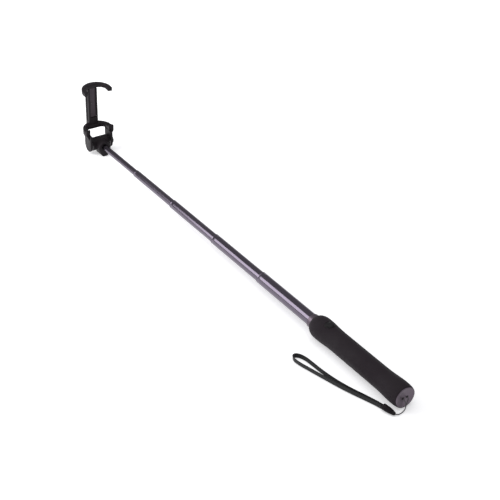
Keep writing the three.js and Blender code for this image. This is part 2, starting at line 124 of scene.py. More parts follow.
def addFloor():
    cells, reach = floorSizes["cells"], floorSizes["reach"]
    bm = bmesh.new()
    bmesh.ops.create_grid(bm, x_segments=cells, y_segments=cells, size=reach)
    bmesh.ops.translate(bm, verts=bm.verts, vec=(0.0, 0.0, -floorSizes["below"]))
    mesh = bpy.data.meshes.new("floor")
    bm.to_mesh(mesh)
    bm.free()
    floor = bpy.data.objects.new("floor", mesh)
    material = bpy.data.materials.new("paleFloor")
    material.use_nodes = True
    setInputs(material.node_tree.nodes["Principled BSDF"], floorLook)
    mesh.materials.append(material)
    bpy.context.scene.collection.objects.link(floor)


bpy.context.scene.view_settings.view_transform = "Standard"
addCamera()
addWorld()
addFloor()
for lampName, lampValues in lamps.items():
    addLamp(lampName, lampValues)
print("stage ready")

# ---- material nodes ----

bumpDepth = {"moulded": 0.0002, "metal": 0.00005, "foam": 0.00025, "woven": 0.0003}


def addNode(tree, kind, values=None, **settings):
    made = tree.nodes.new(kind)
    for key, value in settings.items():
        setattr(made, key, value)
    setInputs(made, values or {})
    return made


# Each row links one node's output to another node's input.
def wire(tree, *rows):
    for source, output, target, entry in rows:
        tree.links.new(source.outputs[output], target.inputs[entry])


def startGroup(name, inputs, outputs):
    group = bpy.data.node_groups.new(name, "ShaderNodeTree")
    for label, default in inputs.items():
        socket = group.interface.new_socket(label, in_out="INPUT", socket_type="NodeSocketFloat")
        socket.default_value = default
    for label in outputs:
        group.interface.new_socket(label, in_out="OUTPUT", socket_type="NodeSocketFloat")
    return group, group.nodes.new("NodeGroupInput"), group.nodes.new("NodeGroupOutput")


# Fine grain for bumps, and broad patches for uneven colour and gloss.
def makeGrainGroup():
    inputs = {"Scale": 2500.0, "Blotch": 60.0}
    group, given, result = startGroup("mouldedGrain", inputs, ["Height", "Patch"])
    place = addNode(group, "ShaderNodeTexCoord")
    fine = addNode(group, "ShaderNodeTexNoise", {"Detail": 3.0, "Roughness": 0.6})
    broad = addNode(group, "ShaderNodeTexNoise", {"Detail": 4.0, "Roughness": 0.55})
    wire(
        group, (place, "Object", fine, "Vector"), (place, "Object", broad, "Vector"),
        (given, "Scale", fine, "Scale"), (given, "Blotch", broad, "Scale"),
        (fine, "Fac", result, "Height"), (broad, "Fac", result, "Patch"),
    )
    return group


# Rubbed edges: where a rounded normal differs from the true one, broken up by noise.
def makeWearGroup():
    group, given, result = startGroup("edgeWear", {"Width": 0.0005, "Amount": 1.0}, ["Mask"])
    rounded = addNode(group, "ShaderNodeBevel", samples=4)
    surface = addNode(group, "ShaderNodeNewGeometry")
    place = addNode(group, "ShaderNodeTexCoord")
    match = addNode(group, "ShaderNodeVectorMath", operation="DOT_PRODUCT")
    edge = addNode(group, "ShaderNodeMapRange", {"From Min": 0.995, "From Max": 0.9})
    noise = addNode(group, "ShaderNodeTexNoise", {"Scale": 900.0, "Detail": 4.0, "Roughness": 0.7})
    chips = addNode(group, "ShaderNodeMapRange", {"From Min": 0.42, "From Max": 0.68})
    worn = addNode(group, "ShaderNodeMath", operation="MULTIPLY")
    total = addNode(group, "ShaderNodeMath", operation="MULTIPLY", use_clamp=True)
    wire(
        group, (given, "Width", rounded, "Radius"), (rounded, "Normal", match, 0),
        (surface, "Normal", match, 1), (match, "Value", edge, "Value"), (place, "Object", noise, "Vector"),
        (noise, "Fac", chips, "Value"), (edge, "Result", worn, 0), (chips, "Result", worn, 1),
        (worn, "Value", total, 0), (given, "Amount", total, 1), (total, "Value", result, "Mask"),
    )
    return group


grainGroup = makeGrainGroup()
wearGroup = makeWearGroup()


def startMaterial(name, roughness, metallic=0.0, specular=0.5):
    material = bpy.data.materials.new(name)
    material.use_nodes = True
    shader = material.node_tree.nodes["Principled BSDF"]
    setInputs(shader, {"Metallic": metallic, "Roughness": roughness, "Specular IOR Level": specular})
    return material, material.node_tree, shader


def rgba(colour):
    return (*colour, 1.0)


def mixColours(tree, factor, first, second):
    mix = addNode(tree, "ShaderNodeMix", data_type="RGBA")
    tree.links.new(factor, mix.inputs["Factor"])
    colourInputs = [socket for socket in mix.inputs if socket.type == "RGBA"]
    for socket, value in zip(colourInputs, (first, second)):
        if isinstance(value, tuple):
            socket.default_value = rgba(value)
        else:
            tree.links.new(value, socket)
    return [socket for socket in mix.outputs if socket.type == "RGBA"][0]


def bumpInto(tree, shader, height, strength, distance):
    bump = addNode(tree, "ShaderNodeBump", {"Strength": strength, "Distance": distance})
    tree.links.new(height, bump.inputs["Height"])
    tree.links.new(bump.outputs["Normal"], shader.inputs["Normal"])


def roughnessFrom(tree, shader, mask, low, high):
    ends = {"From Min": 0.3, "From Max": 0.7, "To Min": low, "To Max": high}
    spread = addNode(tree, "ShaderNodeMapRange", ends)
    tree.links.new(mask, spread.inputs["Value"])
    tree.links.new(spread.outputs["Result"], shader.inputs["Roughness"])


def grainNode(tree, **values):
    return addNode(tree, "ShaderNodeGroup", values, node_tree=grainGroup)


# Two shades in broad patches, and a paler one where the edges are rubbed.
def wornColour(tree, shader, grain, look):
    values = {"Width": look["wearWidth"], "Amount": look["wear"]}
    wear = addNode(tree, "ShaderNodeGroup", values, node_tree=wearGroup)
    body = mixColours(tree, grain.outputs["Patch"], look["colour"], look["colourPatch"])
    colour = mixColours(tree, wear.outputs["Mask"], body, look["colourWorn"])
    tree.links.new(colour, shader.inputs["Base Color"])


# Moulded plastic and rubber: fine grain, slightly uneven gloss and rubbed edges.
def mouldedMaterial(name, look):
    material, tree, shader = startMaterial(name, look["roughness"][0], specular=look["specular"])
    grain = grainNode(tree, Scale=look["grain"])
    wornColour(tree, shader, grain, look)
    roughnessFrom(tree, shader, grain.outputs["Patch"], *look["roughness"])
    bumpInto(tree, shader, grain.outputs["Height"], look["bump"], bumpDepth["moulded"])
    return material


# Drawn or turned metal: fine lines stretched along one axis, or rings round the stick.
def metalMaterial(name, look):
    material, tree, shader = startMaterial(name, look["roughness"][0], metallic=1.0)
    shader.inputs["Anisotropic"].default_value = look["anisotropic"]
    place = addNode(tree, "ShaderNodeTexCoord")
    stretch = addNode(tree, "ShaderNodeMapping", {"Scale": look["stretch"]})
    lines = addNode(tree, "ShaderNodeTexNoise", {"Scale": 1.0, "Detail": 3.0, "Roughness": 0.6})
    wire(tree, (place, "Object", stretch, "Vector"), (stretch, "Vector", lines, "Vector"))
    wornColour(tree, shader, grainNode(tree, Blotch=look["blotch"]), look)
    roughnessFrom(tree, shader, lines.outputs["Fac"], *look["roughness"])
    bumpInto(tree, shader, lines.outputs["Fac"], look["bump"], bumpDepth["metal"])
    return material


foamLook = {
    "colour": (0.0138, 0.0092, 0.0130), "pore": (0.0082, 0.0054, 0.0078),
    "rubbed": (0.0182, 0.0124, 0.0172), "poreScale": 1500.0, "grain": 700.0, "blotch": 45.0,
    "roughness": (0.66, 0.84), "bump": 0.3, "sheen": 0.03, "sheenRoughness": 0.5, "specular": 0.2,
}


def foamMaterial():
    look = foamLook
    material, tree, shader = startMaterial("gripFoam", look["roughness"][0], specular=look["specular"])
    setInputs(shader, {"Sheen Weight": look["sheen"], "Sheen Roughness": look["sheenRoughness"]})
    place = addNode(tree, "ShaderNodeTexCoord")
    cells = addNode(tree, "ShaderNodeTexVoronoi", {"Scale": look["poreScale"], "Randomness": 1.0})
    pores = addNode(tree, "ShaderNodeMapRange", {"From Min": 0.05, "From Max": 0.45})
    wire(tree, (place, "Object", cells, "Vector"), (cells, "Distance", pores, "Value"))
    grain = grainNode(tree, Scale=look["grain"], Blotch=look["blotch"])
    skin = mixColours(tree, grain.outputs["Patch"], look["colour"], look["rubbed"])
    colour = mixColours(tree, pores.outputs["Result"], look["pore"], skin)
    tree.links.new(colour, shader.inputs["Base Color"])
    roughnessFrom(tree, shader, grain.outputs["Patch"], *look["roughness"])
    height = addNode(tree, "ShaderNodeMath", operation="ADD")
    wire(tree, (pores, "Result", height, 0), (grain, "Height", height, 1))
    bumpInto(tree, shader, height.outputs["Value"], look["bump"], bumpDepth["foam"])
    return material


webLook = {
    "colour": (0.0155, 0.0155, 0.0165), "gap": (0.0045, 0.0045, 0.005), "rib": 1250.0, "across": 1600.0,
    "twist": 0.0, "grain": 5000.0, "lighter": 1.5, "roughness": (0.7, 0.9), "bump": 0.8, "sheen": 0.1,
    "sheenRoughness": 0.45, "specular": 0.3,
}


# Woven band or cord: the piece's own UV map runs along u and across v, in metres.
def wovenMaterial(name, look):
    material, tree, shader = startMaterial(name, look["roughness"][0], specular=look["specular"])
    setInputs(shader, {"Sheen Weight": look["sheen"], "Sheen Roughness": look["sheenRoughness"]})
    place = addNode(tree, "ShaderNodeUVMap", uv_map="UVMap")
    turn = addNode(tree, "ShaderNodeMapping", {"Rotation": (0.0, 0.0, look["twist"])})
    wire(tree, (place, "UV", turn, "Vector"))
    threads = []
    for direction, scale in (("X", look["rib"]), ("Y", look["across"])):
        values = {"Scale": scale / 6.283, "Distortion": 0.6, "Detail": 1.0}
        wave = addNode(tree, "ShaderNodeTexWave", values, wave_type="BANDS", bands_direction=direction)
        wire(tree, (turn, "Vector", wave, "Vector"))
        threads.append(wave)
    weave = addNode(tree, "ShaderNodeMath", operation="MULTIPLY")
    wire(tree, (threads[0], "Fac", weave, 0), (threads[1], "Fac", weave, 1))
    grain = grainNode(tree, Scale=look["grain"])
    threadColour = mixColours(tree, weave.outputs["Value"], look["gap"], look["colour"])
    lighter = tuple(look["lighter"] * part for part in look["colour"])
    colour = mixColours(tree, grain.outputs["Patch"], threadColour, lighter)
    tree.links.new(colour, shader.inputs["Base Color"])
    roughnessFrom(tree, shader, grain.outputs["Patch"], *look["roughness"])
    bumpInto(tree, shader, weave.outputs["Value"], look["bump"], bumpDepth["woven"])
    return material


plasticLook = {
    "colour": (0.0108, 0.0080, 0.0103), "colourPatch": (0.0140, 0.0107, 0.0134),
    "colourWorn": (0.040, 0.035, 0.040), "roughness": (0.42, 0.56), "specular": 0.145,
    "grain": 3200.0, "bump": 0.22, "wearWidth": 0.0004, "wear": 0.4,
}
faceLook = {**plasticLook, "colour": (0.053, 0.041, 0.050), "colourPatch": (0.064, 0.051, 0.061)}
rubberLook = {
    "colour": (0.010, 0.010, 0.011), "colourPatch": (0.014, 0.014, 0.015),
    "colourWorn": (0.04, 0.04, 0.04), "roughness": (0.5, 0.7), "specular": 0.35,
    "grain": 5200.0, "bump": 0.3, "wearWidth": 0.0003, "wear": 0.25,
}
buttonLook = {
    **rubberLook, "colour": (0.0055, 0.0045, 0.0056), "colourPatch": (0.0075, 0.0062, 0.0076),
    "roughness": (0.36, 0.48), "specular": 0.24, "bump": 0.06,
}
tubeLook = {
    "colour": (0.130, 0.112, 0.145), "colourPatch": (0.150, 0.130, 0.166), "colourWorn": (0.34, 0.32, 0.36),
    "roughness": (0.14, 0.22), "anisotropic": 0.2, "stretch": (2600.0, 22.0, 2600.0), "blotch": 35.0,
    "bump": 0.05, "wearWidth": 0.00025, "wear": 0.5,
}
capLook = {
    "colour": (0.112, 0.090, 0.112), "colourPatch": (0.135, 0.110, 0.135), "colourWorn": (0.36, 0.33, 0.36),
    "roughness": (0.32, 0.44), "anisotropic": 0.2, "stretch": (420.0, 6000.0, 420.0), "blotch": 90.0,
    "bump": 0.1, "wearWidth": 0.0004, "wear": 0.7,
}
steelLook = {
    "colour": (0.60, 0.60, 0.62), "colourPatch": (0.68, 0.68, 0.70), "colourWorn": (0.80, 0.80, 0.81),
    "roughness": (0.2, 0.34), "anisotropic": 0.2, "stretch": (2500.0, 400.0, 400.0), "blotch": 120.0,
    "bump": 0.06, "wearWidth": 0.0002, "wear": 0.5,
}
darkSteelLook = {
    **steelLook, "colour": (0.10, 0.095, 0.10), "colourPatch": (0.13, 0.125, 0.13),
    "colourWorn": (0.35, 0.34, 0.35),
}
brassLook = {
    **steelLook, "colour": (0.62, 0.47, 0.20), "colourPatch": (0.70, 0.55, 0.26),
    "colourWorn": (0.82, 0.70, 0.40),
}
boardLook = {
    "colour": (0.012, 0.075, 0.030), "colourPatch": (0.018, 0.100, 0.042),
    "colourWorn": (0.20, 0.17, 0.08), "roughness": (0.28, 0.4), "specular": 0.5,
    "grain": 1800.0, "bump": 0.1, "wearWidth": 0.0002, "wear": 0.6,
}
filmLook = {**boardLook, "colour": (0.36, 0.17, 0.04), "colourPatch": (0.45, 0.22, 0.06)}
stringLook = {
    **webLook, "colour": (0.105, 0.10, 0.105), "gap": (0.03, 0.028, 0.03), "rib": 5200.0, "across": 5200.0,
    "twist": 0.7, "bump": 0.6,
}

materials = {
    "foam": foamMaterial(),
    "plastic": mouldedMaterial("blackPlastic", plasticLook),
    "face": mouldedMaterial("stemFace", faceLook),
    "rubber": mouldedMaterial("padRubber", rubberLook),
    "button": mouldedMaterial("buttonRubber", buttonLook),
    "tube": metalMaterial("anodisedTube", tubeLook),
    "cap": metalMaterial("turnedCap", capLook),
    "steel": metalMaterial("plainSteel", steelLook),
    "darkSteel": metalMaterial("blackenedSteel", darkSteelLook),
    "brass": metalMaterial("sleeveBrass", brassLook),
    "board": mouldedMaterial("circuitBoard", boardLook),
    "film": mouldedMaterial("leadFilm", filmLook),
    "webbing": wovenMaterial("strapWebbing", webLook),
    "string": wovenMaterial("strapString", stringLook),
}
print("materials ready")

# ---- mesh helpers ----

sharpAngle = math.radians(38)  # edges bent further than this are rounded
smoothAngle = math.radians(32)
weldDistance = 1e-4
standing = Matrix.Rotation(math.pi / 2, 4, "X")  # an (x, y) outline becomes (x, z), raised towards -y
# An (x, y) outline becomes (y, z), raised along x.
sideways = Matrix(((0, 0, 1, 0), (1, 0, 0, 0), (0, 1, 0, 0), (0, 0, 0, 1)))
alongAxis = {
    "X": Matrix.Rotation(-math.pi / 2, 4, "Z"), "-X": Matrix.Rotation(math.pi / 2, 4, "Z"),
    "Y": Matrix.Identity(4), "Z": standing,
}


# Points on a circle, or on an ellipse if a height is given.
def arc(centre, radius, start, end, count, height=None):
    angles = [math.radians(start + (end - start) * i / count) for i in range(count + 1)]
    rise = radius if height is None else height
    return [(centre[0] + radius * math.cos(a), centre[1] + rise * math.sin(a)) for a in angles]


# Spins a closed outline of (radius, y) round the y axis, then lays it along another axis.
def turned(profile, steps=96, direction="Y"):
    bm = bmesh.new()
    verts = [bm.verts.new((radius, y, 0.0)) for radius, y in profile]
    edges = [bm.edges.new(pair) for pair in zip(verts, verts[1:])]
    if profile[0][0] > 0 or profile[-1][0] > 0:
        edges.append(bm.edges.new((verts[-1], verts[0])))
    bmesh.ops.spin(bm, geom=verts + edges, cent=(0, 0, 0), axis=(0, 1, 0), dvec=(0, 0, 0),
                   angle=2 * math.pi, steps=steps, use_merge=True, use_duplicate=False)
    bmesh.ops.remove_doubles(bm, verts=bm.verts, dist=weldDistance)
    bmesh.ops.recalc_face_normals(bm, faces=bm.faces)
    bmesh.ops.transform(bm, matrix=alongAxis[direction], verts=bm.verts)
    return bm


def bevelled(bm, edges, width, segments):
    bmesh.ops.bevel(bm, geom=edges, offset=width, offset_type="OFFSET", segments=segments, profile=0.5,
                    affect="EDGES", material=-1, clamp_overlap=True)


def soften(bm, width):
    sharp = [e for e in bm.edges if len(e.link_faces) == 2 and e.calc_face_angle() > sharpAngle]
    bevelled(bm, sharp, width, 3)


# Raises a closed (x, y) outline from low to high, then turns it by the matrix if one is given.
def plate(outline, low, high, matrix=None, soft=0.0):
    bm = bmesh.new()
    face = bm.faces.new([bm.verts.new((x, y, low)) for x, y in outline])
    raised = bmesh.ops.extrude_face_region(bm, geom=[face])
    top = [v for v in raised["geom"] if isinstance(v, bmesh.types.BMVert)]
    bmesh.ops.translate(bm, verts=top, vec=(0, 0, high - low))
    if matrix is not None:
        bmesh.ops.transform(bm, matrix=matrix, verts=bm.verts)
    bmesh.ops.recalc_face_normals(bm, faces=bm.faces)
    if soft:
        soften(bm, soft)
    return bm


def block(low, high, soft=0.0):
    corners = [(low[0], low[1]), (high[0], low[1]), (high[0], high[1]), (low[0], high[1])]
    return plate(corners, low[2], high[2], soft=soft)


def rod(radius, start, end, direction="Y", sides=32):
    return turned([(0, start), (radius, start), (radius, end), (0, end)], sides, direction)


def shifted(bm, offset):
    bmesh.ops.translate(bm, verts=bm.verts, vec=offset)
    return bm


def toObject(bm, name):
    mesh = bpy.data.meshes.new(name)
    bm.to_mesh(mesh)
    bm.free()
    made = bpy.data.objects.new(name, mesh)
    bpy.context.scene.collection.objects.link(made)
    return made


# Works the tools into the body one after another, and gives back one mesh.
def combined(bm, tools, operation):
    body = toObject(bm, "body")
    cutters = [toObject(tool, "cutter") for tool in tools]
    for cutter in cutters:
        step = body.modifiers.new("step", "BOOLEAN")
        step.operation = operation
        step.object = cutter
        step.solver = "EXACT"
    bpy.context.view_layer.update()
    worked = body.evaluated_get(bpy.context.evaluated_depsgraph_get())
    result = bmesh.new()
    result.from_mesh(worked.to_mesh())
    worked.to_mesh_clear()
    for used in [body, *cutters]:
        data = used.data
        bpy.data.objects.remove(used)
        bpy.data.meshes.remove(data)
    bmesh.ops.remove_doubles(result, verts=result.verts, dist=weldDistance)
    bmesh.ops.dissolve_limit(result, angle_limit=math.radians(0.5), verts=result.verts, edges=result.edges)
    return result


def joined(bm, *tools):
    return combined(bm, tools, "UNION")


def cut(bm, *tools):
    return combined(bm, tools, "DIFFERENCE")


# From a piece's own millimetres to its place in the model.
def placing(body, origin):
    lean = leaning if body in leaningBodies else Matrix.Identity(4)
    return Matrix.Translation(origin) @ lean @ Matrix.Scale(mm, 4)


# Puts a finished shape in its place and hangs it on its body.
def seat(bm, name, body, material, stands=(), origin=hingePoint, rounding=0.0):
    bmesh.ops.transform(bm, matrix=placing(body, origin), verts=bm.verts)
    made = toObject(bm, name)
    made.data.materials.append(materials[material])
    made.data.polygons.foreach_set("use_smooth", [True] * len(made.data.polygons))
    made.data.set_sharp_from_angle(angle=smoothAngle)
    if rounding:
        edge = made.modifiers.new("softEdges", "BEVEL")
        edge.width = rounding * mm
        edge.segments = 3
        edge.limit_method = "ANGLE"
        edge.angle_limit = sharpAngle
        edge.harden_normals = True
        edge.use_clamp_overlap = True
    if stands:
        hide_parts(*stands)
    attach(made, body)
    return made


# A smooth line through the points, the same curve that the solid's route follows.
def smoothLine(points, perSpan=8):
    knots = [Vector(p) for p in points]
    knots = [2 * knots[0] - knots[1], *knots, 2 * knots[-1] - knots[-2]]
    line = []
    for p0, p1, p2, p3 in zip(knots, knots[1:], knots[2:], knots[3:]):
        for i in range(perSpan):
            t = i / perSpan
            line.append(0.5 * (2 * p1 + (p2 - p0) * t + (2 * p0 - 5 * p1 + 4 * p2 - p3) * t * t
                               + (3 * p1 - p0 - 3 * p2 + p3) * t ** 3))
    line.append(knots[-2])
    return line


# Sweeps a closed section of (across, up) along a line, with a UV map in metres. A band leans over
# by the lean angle in the middle of its run, and a round cord keeps its sides from twisting.
def swept(line, section, lean=0.0):
    bm = bmesh.new()
    uvMap = bm.loops.layers.uv.new("UVMap")
    count = len(section)
    steep, level = 0.8, 0.01  # slopes at which the upright direction changes, and a cord counts as flat
    rings, walked, across = [], [0.0], None
    for i, point in enumerate(line):
        ahead = (line[min(i + 1, len(line) - 1)] - line[max(i - 1, 0)]).normalized()
        if across is not None and not lean and abs(ahead.z) > level:
            across = (across - across.dot(ahead) * ahead).normalized()
        else:
            upright = Vector((0, 0, 1)) if abs(ahead.z) < steep else Vector((0, 1, 0))
            across = ahead.cross(upright).normalized()
        if lean:
            leanHere = lean * math.sin(math.pi * i / (len(line) - 1)) ** 2
            across = Matrix.Rotation(leanHere, 3, ahead) @ across
        up = across.cross(ahead).normalized()
        rings.append([bm.verts.new(point + across * a + up * b) for a, b in section])
        if i:
            walked.append(walked[-1] + (point - line[i - 1]).length)
    around = [0.0]
    for j in range(count):
        around.append(around[-1] + (Vector(section[(j + 1) % count]) - Vector(section[j])).length)
    for i in range(len(rings) - 1):
        for j in range(count):
            face = bm.faces.new((rings[i][j], rings[i][(j + 1) % count],
                                 rings[i + 1][(j + 1) % count], rings[i + 1][j]))
            corners = ((walked[i], around[j]), (walked[i], around[j + 1]),
                       (walked[i + 1], around[j + 1]), (walked[i + 1], around[j]))
            for loop, (u, v) in zip(face.loops, corners):
                loop[uvMap].uv = (u * mm, v * mm)
    bm.faces.new(rings[0])
    bm.faces.new(rings[-1])
    bmesh.ops.recalc_face_normals(bm, faces=bm.faces)
    return bm


def roundSection(radius, sides=12):
    return arc((0, 0), radius, 0, 360, sides)[:-1]


# ---- wrist strap: string, cuff and woven loop, measured from the floor ----

strapSizes = {
    "width": 5.5, "thickness": 1.2, "corner": 0.45, "lean": math.radians(7), "stringRadius": 0.55,
    "floorGap": 0.02,
}
beadSizes = {
    "rear": Vector((-19.4, -681.2, 3.8)), "tip": Vector((-16.1, -696.4, 2.2)),
    "radius": 3.95, "taper": 1.1, "flatness": 0.86,
    "ribs": 7, "firstRib": 3.0, "pitch": 1.4, "ribDepth": 0.5, "slant": 0.38, "endRun": 2.0,
    "rearLip": [(0, 0.3), (3.0, 0.3), (3.6, 0.7), (3.8, 1.4), (3.8, 2.4)],
    "nose": [(2.5, -2.0), (2.3, -0.9), (1.8, 0.2), (1.1, 0.8), (0, 0.95)],  # from the tip
}
stringRoute = [
    (-2.75, -689.4, 13.7), (-2.75, -691.2, 13.7), (-2.75, -693.1, 13.6), (-2.6, -694.7, 13),
    (-2.2, -695.6, 11.3), (-1.7, -695.9, 8.9), (-1.4, -696, 6.4), (-1.6, -696.1, 4), (-2.8, -696.4, 2),
    (-5, -696.9, 0.95), (-8, -697.5, 0.65), (-11, -697.9, 0.85), (-13.6, -697.6, 1.5), (-15.8, -697, 2.15),
]
secondStrand = [
    (2.75, -689.4, 13.7), (2.75, -691.2, 13.7), (2.7, -693.1, 13.5), (2.3, -694.6, 12.6),
    (1.1, -695.5, 10.9), (-0.2, -695.9, 8.9), (-0.55, -696.1, 7.2),
]
strapRoute = [
    (-18.6, -680.7), (-20.6, -672), (-24.6, -658), (-29.3, -643), (-33, -628), (-35.6, -613), (-37.2, -598),
    (-37.9, -584), (-38.7, -573.5), (-41, -565.6), (-44.9, -561.6), (-48.5, -562.9), (-50, -568.5),
    (-48.9, -578), (-46.2, -589.5), (-43.2, -602), (-39.9, -615.5), (-36.2, -630), (-31.9, -644.6),
    (-26.9, -659.4), (-22.6, -672.6), (-20.7, -680.3),
]


def ontoFloor(bm):
    lowest = min(v.co.z for v in bm.verts)
    return shifted(bm, (0, 0, strapSizes["floorGap"] - lowest))


def makeBead():
    b = beadSizes
    run = b["tip"] - b["rear"]
    outline = list(b["rearLip"])
    for i in range(b["ribs"]):
        y = b["firstRib"] + i * b["pitch"]
        crest = b["radius"] - b["taper"] * (i / b["ribs"]) ** 2
        foot = crest - b["ribDepth"]
        outline += [(foot, y), (crest, y + 0.4), (crest, y + 0.8), (foot, y + 1.15)]
    outline += [(radius, run.length + y) for radius, y in b["nose"]]
    bm = turned(outline, 40)
    for v in bm.verts:  # a little flat, its ribs slanting between the plain ends
        v.co.z *= b["flatness"]
        fromRear = min(1.0, max(0.0, (v.co.y - 1.5) / b["endRun"]))
        fromTip = min(1.0, max(0.0, (run.length - b["endRun"] - v.co.y) / b["endRun"]))
        v.co.y += b["slant"] * fromRear * fromTip * v.co.z
    turn = run.to_track_quat("Y", "Z").to_matrix().to_4x4()
    bmesh.ops.transform(bm, matrix=Matrix.Translation(b["rear"]) @ turn, verts=bm.verts)
    return seat(ontoFloor(bm), "strapBead", "handle", "plastic", ["strap_bead"],
                floorPoint, 0.12)


def makeStrap():
    half, depth, corner = strapSizes["width"] / 2, strapSizes["thickness"] / 2, strapSizes["corner"]
    section = [
        (-depth, -half + corner), (-depth + corner, -half), (depth - corner, -half),
        (depth, -half + corner), (depth, 0.0), (depth, half - corner), (depth - corner, half),
        (-depth + corner, half), (-depth, half - corner), (-depth, 0.0),
    ]
    line = smoothLine([(x, y, half + 0.05) for x, y in strapRoute], 10)
    bm = ontoFloor(swept(line, section, strapSizes["lean"]))
    band = seat(bm, "wristStrap", "handle", "webbing", ["wrist_strap"], floorPoint)


def makeString(bead):
    radius = strapSizes["stringRadius"]
    line = smoothLine(stringRoute)
    spareLine = smoothLine(secondStrand)
    string = seat(swept(line, roundSection(radius)), "strapString", "handle", "string",
                  ["strap_string"], floorPoint)
    spare = seat(swept(spareLine, roundSection(radius)), "secondStrand", "handle", "string",
                 origin=floorPoint)


makeString(makeBead())
makeStrap()
print("wrist strap ready")

# ---- handle ----

gripSizes = {
    "waist": 12.4, "swell": 1.3, "spread": 16.0, "swellsAt": (11.0, 141.0), "length": 155.2,
    "front": -537.4, "bore": 9.42, "rearEdge": 0.5, "frontRound": (11.0, 4.2), "rearRound": (7.0, 1.0),
    "capRoom": (12.2, 1.75),  # radius and depth of the foam lip that closes round the end cap
}
capFaceY = gripSizes["front"] - gripSizes["length"]
buttonSizes = {
    "y": -562.4, "radius": 4.7, "top": 13.95, "crownFrom": 13.2, "flange": 5.7, "flangeLow": 11.9,
    "flangeHigh": 12.5,
}
bezelSizes = {
    "innerGap": 0.3, "outerGap": 1.15, "low": 12.9, "edge": 13.35, "high": 13.5, "gripRadius": 13.5,
}
wellSizes = {"gap": 0.45, "low": 10.0, "high": 20.0, "flangeGap": 0.3, "flangeLow": 9.0, "flangeHigh": 12.8}


def gripRadius(y):
    g = gripSizes
    swells = [math.exp(-(((y - place) / g["spread"]) ** 2)) for place in g["swellsAt"]]
    drops = 0.0
    frontReach, frontDrop = g["frontRound"]
    rearReach, rearDrop = g["rearRound"]
    intoFront = max(0.0, (y - g["length"] + frontReach) / frontReach)
    intoRear = max(0.0, (rearReach - y) / rearReach)
    for into, drop in ((intoFront, frontDrop), (intoRear, rearDrop)):
        drops += drop * (1 - math.sqrt(max(0.0, 1 - into ** 2)))
    return g["waist"] + sum(g["swell"] * part for part in swells) - drops


def makeGrip():
    g, w, b = gripSizes, wellSizes, buttonSizes
    reach = g["frontRound"][0]
    noseStart = g["length"] - reach
    roomRadius, roomDepth = g["capRoom"]
    stations = [g["rearEdge"] + 0.45 * i for i in range(12)]  # close together round the rear edge
    waistStart = stations[-1]
    stations += [waistStart + (noseStart - waistStart) * i / 62 for i in range(1, 63)]
    stations += [noseStart + reach * math.sin(math.radians(6 * i)) for i in range(1, 15)]
    outline = [(roomRadius, capFaceY + g["rearEdge"])]
    outline += [(gripRadius(y), capFaceY + y) for y in stations]
    outline += [(gripRadius(g["length"]), g["front"]), (g["bore"], g["front"]),
                (g["bore"], capFaceY + roomDepth), (roomRadius, capFaceY + roomDepth)]
    well = rod(b["radius"] + w["gap"], w["low"], w["high"], "Z", 64)
    flangeRoom = rod(b["flange"] + w["flangeGap"], w["flangeLow"], w["flangeHigh"], "Z", 64)
    middle = (0, b["y"], 0)
    bm = cut(turned(outline, 128), shifted(well, middle), shifted(flangeRoom, middle))
    seat(bm, "gripSleeve", "handle", "foam", ["grip_sleeve"], rounding=0.25)


def makeShutterButton():
    b = buttonSizes
    crown = arc((0, b["crownFrom"]), b["radius"], 0, 81, 9, height=b["top"] - b["crownFrom"])
    outline = [(0, b["flangeLow"]), (b["flange"], b["flangeLow"]), (b["flange"], b["flangeHigh"]),
               (b["radius"], b["flangeHigh"]), *crown, (0, b["top"])]
    bm = shifted(turned(outline, 64, "Z"), (0, b["y"], 0))
    seat(bm, "shutterButton", "shutter", "button", ["shutter_button"])


# A thin ring round the shutter button, pressed into the foam.
def makeButtonBezel():
    b = bezelSizes
    inner, outer = buttonSizes["radius"] + b["innerGap"], buttonSizes["radius"] + b["outerGap"]
    outline = [(outer, b["low"]), (outer, b["edge"]), (outer - 0.25, b["high"]), (inner + 0.2, b["high"]),
               (inner, b["edge"]), (inner, b["low"])]
    bm = turned(outline, 64, "Z")
    for v in bm.verts:  # follows the grip's round top
        v.co.z -= v.co.x ** 2 / (2 * b["gripRadius"])
    shifted(bm, (0, buttonSizes["y"], 0))
    seat(bm, "buttonBezel", "handle", "button")


collarSizes = {"bore": 7.67, "spigot": 8.28, "flange": 8.6, "length": 6.4, "inside": 8.0, "edge": 0.5}


def makeCollar():
    c, step = collarSizes, gripSizes["front"] + 0.02
    rear, front = gripSizes["front"] - c["inside"], gripSizes["front"] + c["length"]
    outline = [(c["spigot"], rear), (c["spigot"], step), (c["flange"], step), (c["flange"], front - 0.9)]
    outline += arc((c["flange"] - c["edge"], front - c["edge"]), c["edge"], 0, 90, 5)
    outline += [(c["bore"] + 0.15, front), (c["bore"], front - 0.15), (c["bore"], rear)]
    seat(turned(outline), "frontCollar", "handle", "cap", ["front_collar"])


capSizes = {
    "radius": 12.1, "thickness": 1.6, "edge": 0.45, "rim": 1.8, "dish": 0.18, "dishSlope": 0.4, "plug": 8.1,
    "plugEnd": -681.1, "hole": 1.5, "holeX": 2.75, "barRoom": 1.5,
}


